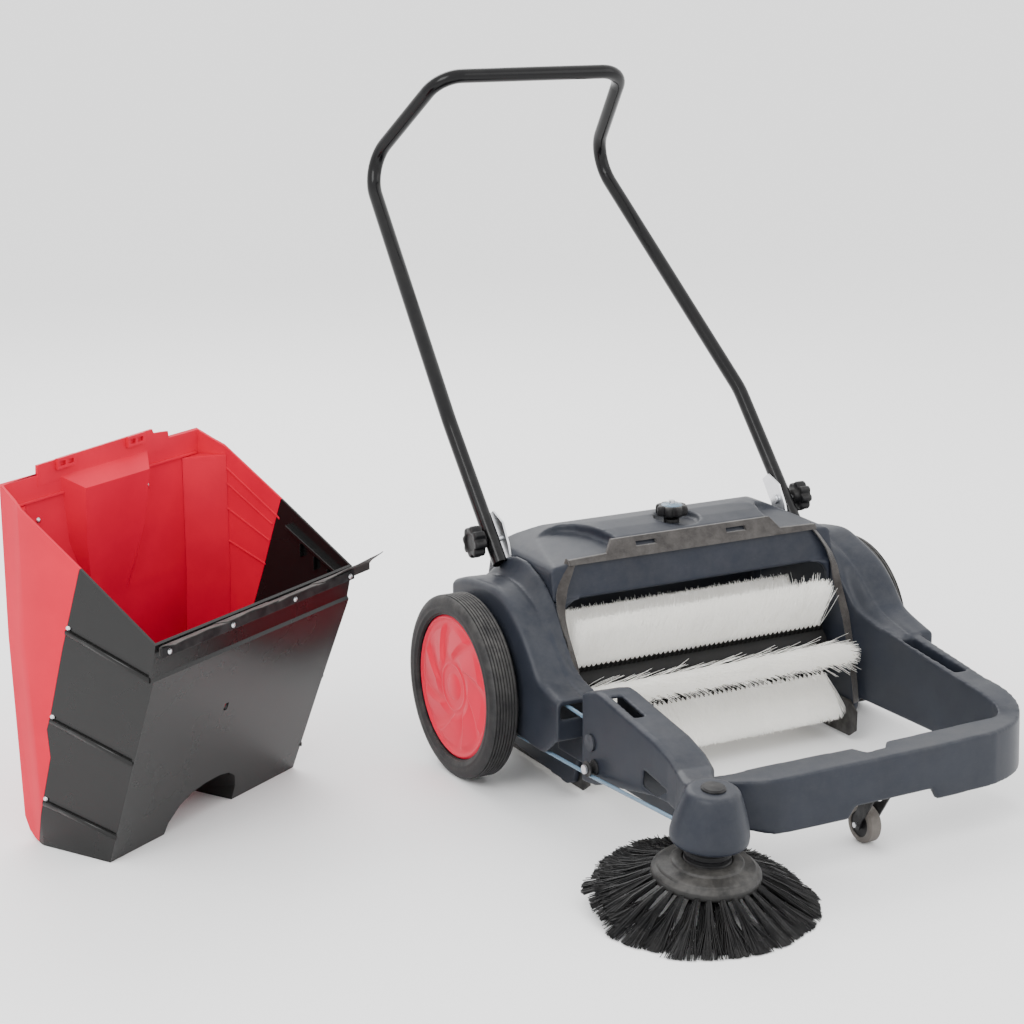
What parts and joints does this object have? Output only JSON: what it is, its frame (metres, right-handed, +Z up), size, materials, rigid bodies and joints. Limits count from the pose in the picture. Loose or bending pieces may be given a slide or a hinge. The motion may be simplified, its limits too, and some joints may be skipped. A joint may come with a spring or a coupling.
{
  "type": "walk-behind push sweeper",
  "caption": "Manual push sweeper with a cylindrical main brush, a belt-driven side brush, folding push handle and a lift-out debris hopper.",
  "frame": {"origin": "centre of the bounding box's underside, on the floor", "axes": "+X across the machine, away from the side brush; +Y towards the push handle; +Z up"},
  "size_m": [1.4946, 1.4091, 1.0955],
  "materials": {
    "grey_plastic": "fine moulded grain, satin",
    "black_plastic": "moulded, satin",
    "black_gloss_plastic": "polished hopper base",
    "red_plastic": "coloured polypropylene, satin",
    "tyre_rubber": "ribbed solid rubber",
    "caster_rubber": "grey-brown tread",
    "soft_rubber": "flexible skirt and lip",
    "seal_foam": "closed-cell foam",
    "handle_enamel": "black gloss powder coat",
    "zinc_steel": "zinc plated",
    "white_bristle": "nylon filament",
    "black_bristle": "polypropylene filament",
    "clear_belt": "clear polyurethane round belt",
    "drive_plastic": "glass-filled nylon"
  },
  "bodies": {
    "chassis": {"base_frame": "grey_plastic", "front_frame": "grey_plastic", "top_cover": "grey_plastic", "hopper_seal": "seal_foam", "axle_left": "zinc_steel", "axle_right": "zinc_steel", "brush_bearing_left": "drive_plastic", "brush_bearing_right": "drive_plastic", "arm_pivot_pin": "grey_plastic", "drive_belt": "clear_belt", "handle_bracket_left": "zinc_steel", "handle_bracket_right": "zinc_steel", "pivot_bolt_left": "zinc_steel", "pivot_bolt_right": "zinc_steel", "caster_plate": "zinc_steel", "rear_skirt": "soft_rubber", "rear_skirt_clamp": "black_plastic", "side_skirt_left": "soft_rubber", "side_skirt_right": "soft_rubber"},
    "wheel_left_body": {"tyre_left": "tyre_rubber", "wheel_rim_left": "black_plastic", "wheel_disc_left": "red_plastic", "wheel_gear": "drive_plastic"},
    "wheel_right_body": {"tyre_right": "tyre_rubber", "wheel_rim_right": "black_plastic", "wheel_disc_right": "red_plastic"},
    "main_brush": {"brush_core": "black_plastic", "brush_bristles": "white_bristle", "brush_shaft": "zinc_steel", "brush_gear": "drive_plastic", "belt_pulley": "drive_plastic"},
    "side_arm_body": {"side_arm": "grey_plastic", "pod_cap": "black_plastic", "spindle_bush": "drive_plastic", "idler_bolt": "zinc_steel"},
    "side_brush": {"side_spindle": "zinc_steel", "side_pulley": "drive_plastic", "side_brush_hub": "black_plastic", "side_brush_ring": "black_plastic", "side_brush_bristles": "black_bristle"},
    "idler_body": {"belt_idler": "black_plastic"},
    "height_knob_body": {"height_knob": "black_plastic", "height_knob_cap": "clear_belt", "height_spindle": "zinc_steel"},
    "height_carriage": {"height_crossbar": "drive_plastic"},
    "handle_body": {"handle_tube": "handle_enamel"},
    "knob_left_body": {"handle_knob_left": "black_plastic"},
    "knob_right_body": {"handle_knob_right": "black_plastic"},
    "caster_swivel_body": {"caster_fork": "zinc_steel", "caster_axle": "zinc_steel"},
    "caster_wheel_body": {"caster_hub": "black_plastic", "caster_tread": "caster_rubber"},
    "hopper": {"hopper_shell": "red_plastic", "hopper_base": "black_gloss_plastic", "hopper_lip": "soft_rubber", "lip_clamp_strip": "zinc_steel", "lip_screws": "zinc_steel", "hopper_feet": "black_plastic"}
  },
  "joints": [
    {"name": "wheel_left_spin", "type": "hinge", "parent": "chassis", "child": "wheel_left_body", "pos_m": [-0.0375, 0.087, 0.149], "axis": [1, 0, 0], "continuous": true},
    {"name": "wheel_right_spin", "type": "hinge", "parent": "chassis", "child": "wheel_right_body", "pos_m": [0.7225, 0.087, 0.149], "axis": [1, 0, 0], "continuous": true},
    {"name": "main_brush_spin", "type": "hinge", "parent": "chassis", "child": "main_brush", "pos_m": [0.3425, -0.001, 0.143], "axis": [1, 0, 0], "continuous": true},
    {"name": "side_arm_lift", "type": "hinge", "parent": "chassis", "child": "side_arm_body", "pos_m": [0.0425, -0.23, 0.144], "axis": [-1, 0, 0], "range_deg": [0, 6], "deforming": ["drive_belt"]},
    {"name": "side_brush_spin", "type": "hinge", "parent": "side_arm_body", "child": "side_brush", "pos_m": [0.0109, -0.55568, 0.14918], "axis": [0, -0.1045, 0.9945], "continuous": true},
    {"name": "belt_idler_spin", "type": "hinge", "parent": "side_arm_body", "child": "idler_body", "pos_m": [0.0045, -0.243, 0.1092], "axis": [1, 0, 0], "continuous": true},
    {"name": "height_knob_turn", "type": "hinge", "parent": "chassis", "child": "height_knob_body", "pos_m": [0.3425, 0.067, 0.4], "axis": [0, 0, 1], "range_deg": [-540, 540]},
    {"name": "height_carriage_slide", "type": "slide", "parent": "chassis", "child": "height_carriage", "axis": [0, 0, 1], "range_m": [-0.0046, 0.0046]},
    {"name": "handle_fold", "type": "hinge", "parent": "chassis", "child": "handle_body", "pos_m": [0.3425, 0.153, 0.364], "axis": [1, 0, 0], "range_deg": [-20, 110]},
    {"name": "handle_knob_left_turn", "type": "hinge", "parent": "chassis", "child": "knob_left_body", "pos_m": [0.0225, 0.153, 0.364], "axis": [1, 0, 0], "range_deg": [0, 720]},
    {"name": "handle_knob_right_turn", "type": "hinge", "parent": "chassis", "child": "knob_right_body", "pos_m": [0.6625, 0.153, 0.364], "axis": [-1, 0, 0], "range_deg": [0, 720]},
    {"name": "caster_swivel", "type": "hinge", "parent": "chassis", "child": "caster_swivel_body", "pos_m": [0.3545, -0.487, 0.085], "axis": [0, 0, 1], "continuous": true},
    {"name": "caster_roll", "type": "hinge", "parent": "caster_swivel_body", "child": "caster_wheel_body", "pos_m": [0.3545, -0.456, 0.029], "axis": [1, 0, 0], "continuous": true},
    {"name": "hopper_lift", "type": "slide", "parent": "chassis", "child": "hopper", "axis": [0, 0, 1], "range_m": [0, 0.35]}
  ],
  "couplings": [
    {"joint": "main_brush_spin", "follows": "wheel_left_spin", "ratio": -1.75},
    {"joint": "side_brush_spin", "follows": "wheel_left_spin", "ratio": 2.5278},
    {"joint": "belt_idler_spin", "follows": "wheel_left_spin", "ratio": -8.125},
    {"joint": "height_carriage_slide", "follows": "height_knob_turn", "m_per_rad": 0.00047746}
  ]
}
